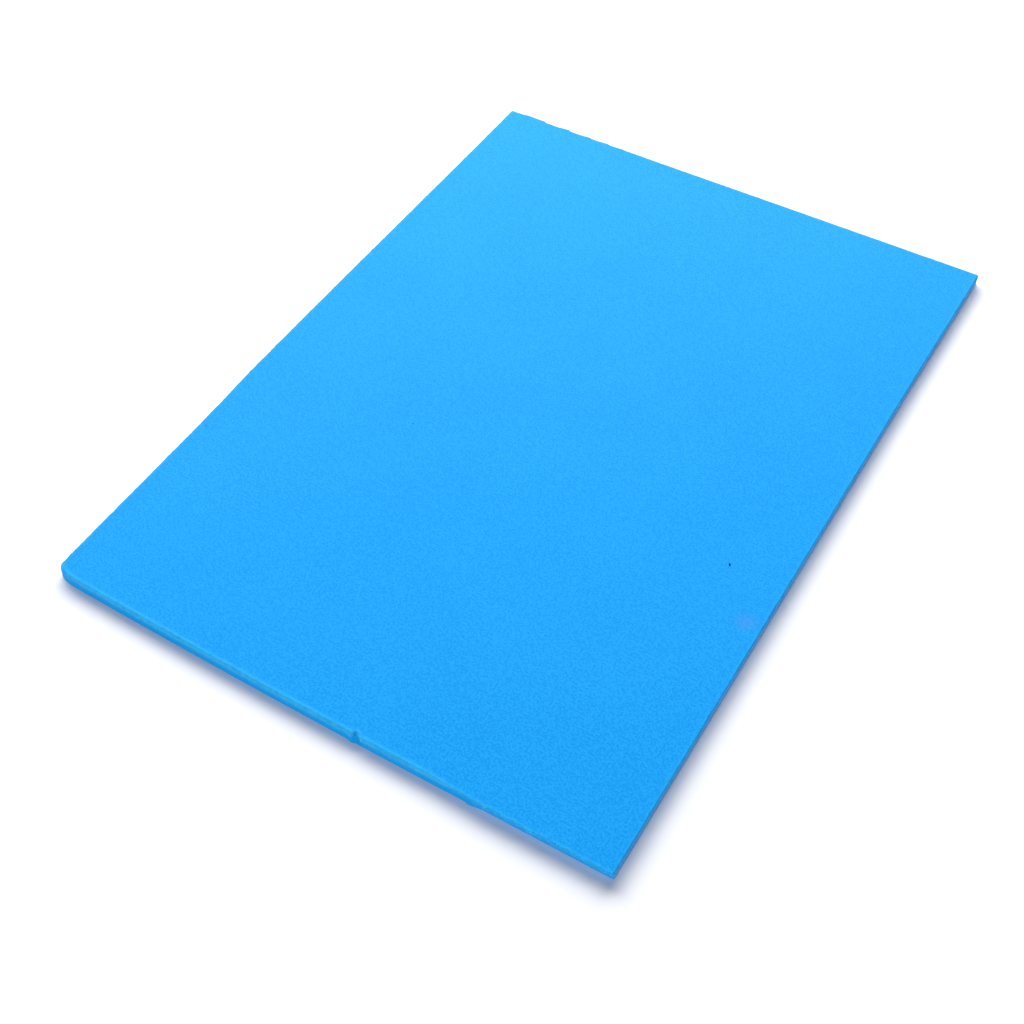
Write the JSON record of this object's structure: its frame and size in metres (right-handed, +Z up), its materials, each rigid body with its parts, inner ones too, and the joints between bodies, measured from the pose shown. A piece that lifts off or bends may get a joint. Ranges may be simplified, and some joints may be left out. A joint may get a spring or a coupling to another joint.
{
  "type": "foam sheet",
  "caption": "Thin rectangular sheet of closed-cell craft foam, knife-cut to size, lying flat, for cutting, padding and packing work on a bench.",
  "frame": {"origin": "bottom centre of the overall outline, on the underside", "axes": "+X across the short side, +Y along the long side, away from the near edge, +Z up through the thickness"},
  "size_m": [0.15, 0.2052, 0.003],
  "materials": {
    "foam": "matte closed-cell foam, fine even grain, bright sky blue"
  },
  "bodies": {
    "root": {"foam_sheet": "foam"}
  },
  "joints": []
}
